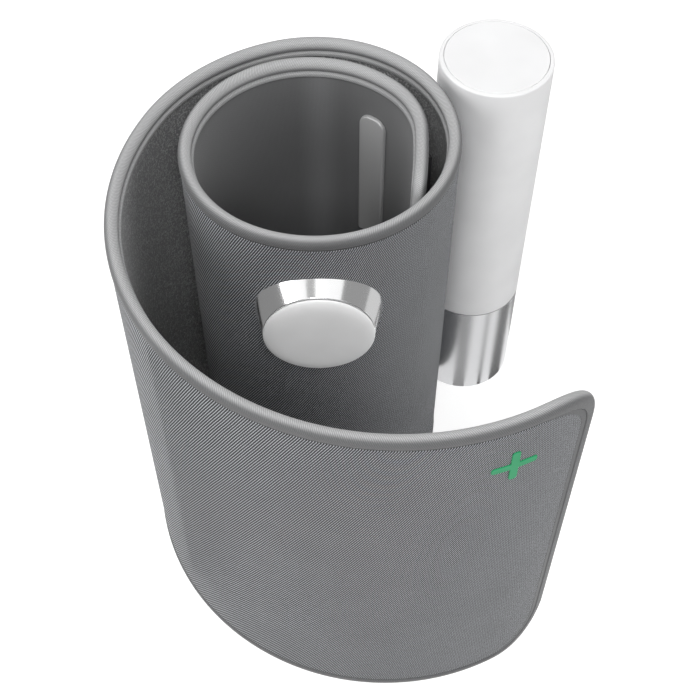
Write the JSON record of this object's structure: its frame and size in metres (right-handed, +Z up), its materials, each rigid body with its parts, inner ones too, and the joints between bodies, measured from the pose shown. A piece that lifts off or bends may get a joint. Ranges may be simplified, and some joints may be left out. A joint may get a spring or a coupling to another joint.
{
  "type": "arm-in blood pressure monitor",
  "caption": "Upper-arm blood pressure monitor: self-coiling grey fabric cuff, open at one end, with a drum-shaped sensor head and a white tube-shaped monitor beside it.",
  "frame": {"origin": "centre of the footprint on the table", "axes": "+Z up, -Y towards the pictured front, where the flap crosses in front of the arm loop"},
  "size_m": [0.1414, 0.167, 0.161],
  "materials": {
    "outer_fabric": "woven twill",
    "lining": "smooth woven",
    "binding_tape": "ribbed tape",
    "hook_cloth": "hooked pile",
    "stiffener_sheet": "smooth sheet",
    "bladder_film": "smooth film",
    "green_mark": "satin",
    "white_plastic": "satin white",
    "light_grey_plastic": "matt",
    "dark_plastic": "matt",
    "polished_metal": "polished",
    "satin_metal": "satin",
    "steel": "plain",
    "board": "satin",
    "cell_wrap": "satin",
    "rubber": "matt"
  },
  "bodies": {
    "monitor": {"tube_housing": "white_plastic", "electrode_sleeve": "polished_metal", "switch_board": "board", "button_dome": "steel", "chassis": "dark_plastic", "battery_cell": "cell_wrap", "pump_motor": "steel", "pump_head": "dark_plastic", "air_manifold": "dark_plastic", "valve_body": "steel", "main_board": "board", "pressure_sensor": "light_grey_plastic", "display_board": "board", "end_cap": "light_grey_plastic", "end_cap_screw_1": "steel", "end_cap_screw_2": "steel", "charging_port": "steel", "outer_fabric_loop": "outer_fabric", "stiffener_loop": "stiffener_sheet", "lining_loop": "lining", "edge_binding_loop": "binding_tape", "air_bladder": "bladder_film", "electrode_strip": "satin_metal", "signal_ribbon": "satin_metal", "sensor_ring": "polished_metal", "sensor_cap": "light_grey_plastic", "sensor_board": "board", "sensor_microphone": "dark_plastic", "sensor_clamp_plate": "dark_plastic", "sensor_diaphragm": "rubber", "sensor_screw_1": "steel", "sensor_screw_2": "steel", "sensor_screw_3": "steel", "tube_saddle": "dark_plastic", "saddle_plate": "dark_plastic", "saddle_screw_1": "steel", "saddle_screw_2": "steel", "tube_screw_1": "steel", "tube_screw_2": "steel", "air_fitting": "light_grey_plastic"},
    "flap": {"outer_fabric_flap": "outer_fabric", "stiffener_flap": "stiffener_sheet", "lining_flap": "lining", "edge_binding_flap": "binding_tape", "hook_pad": "hook_cloth", "plus_mark": "green_mark"},
    "button": {"power_button": "white_plastic"},
    "rotor": {"pump_rotor": "light_grey_plastic"},
    "plunger": {"valve_plunger": "rubber"}
  },
  "joints": [
    {"name": "flap_flex", "type": "hinge", "parent": "monitor", "child": "flap", "pos_m": [-0.04894, 0.05742, 0.0805], "axis": [0, 0, 1], "range_deg": [-55, 12], "stiffness_Nm_per_rad": 0.05},
    {"name": "button_press", "type": "slide", "parent": "monitor", "child": "button", "axis": [0, 0, -1], "range_m": [0, 0.0008], "stiffness_N_per_m": 900, "springref_m": -0.0006},
    {"name": "pump_spin", "type": "hinge", "parent": "monitor", "child": "rotor", "pos_m": [0.04278, 0.0609, 0.0694], "axis": [0, 0, 1], "continuous": true},
    {"name": "valve_release", "type": "slide", "parent": "monitor", "child": "plunger", "axis": [0, 0, -1], "range_m": [0, 0.0005], "stiffness_N_per_m": 200, "springref_m": -0.0005}
  ]
}
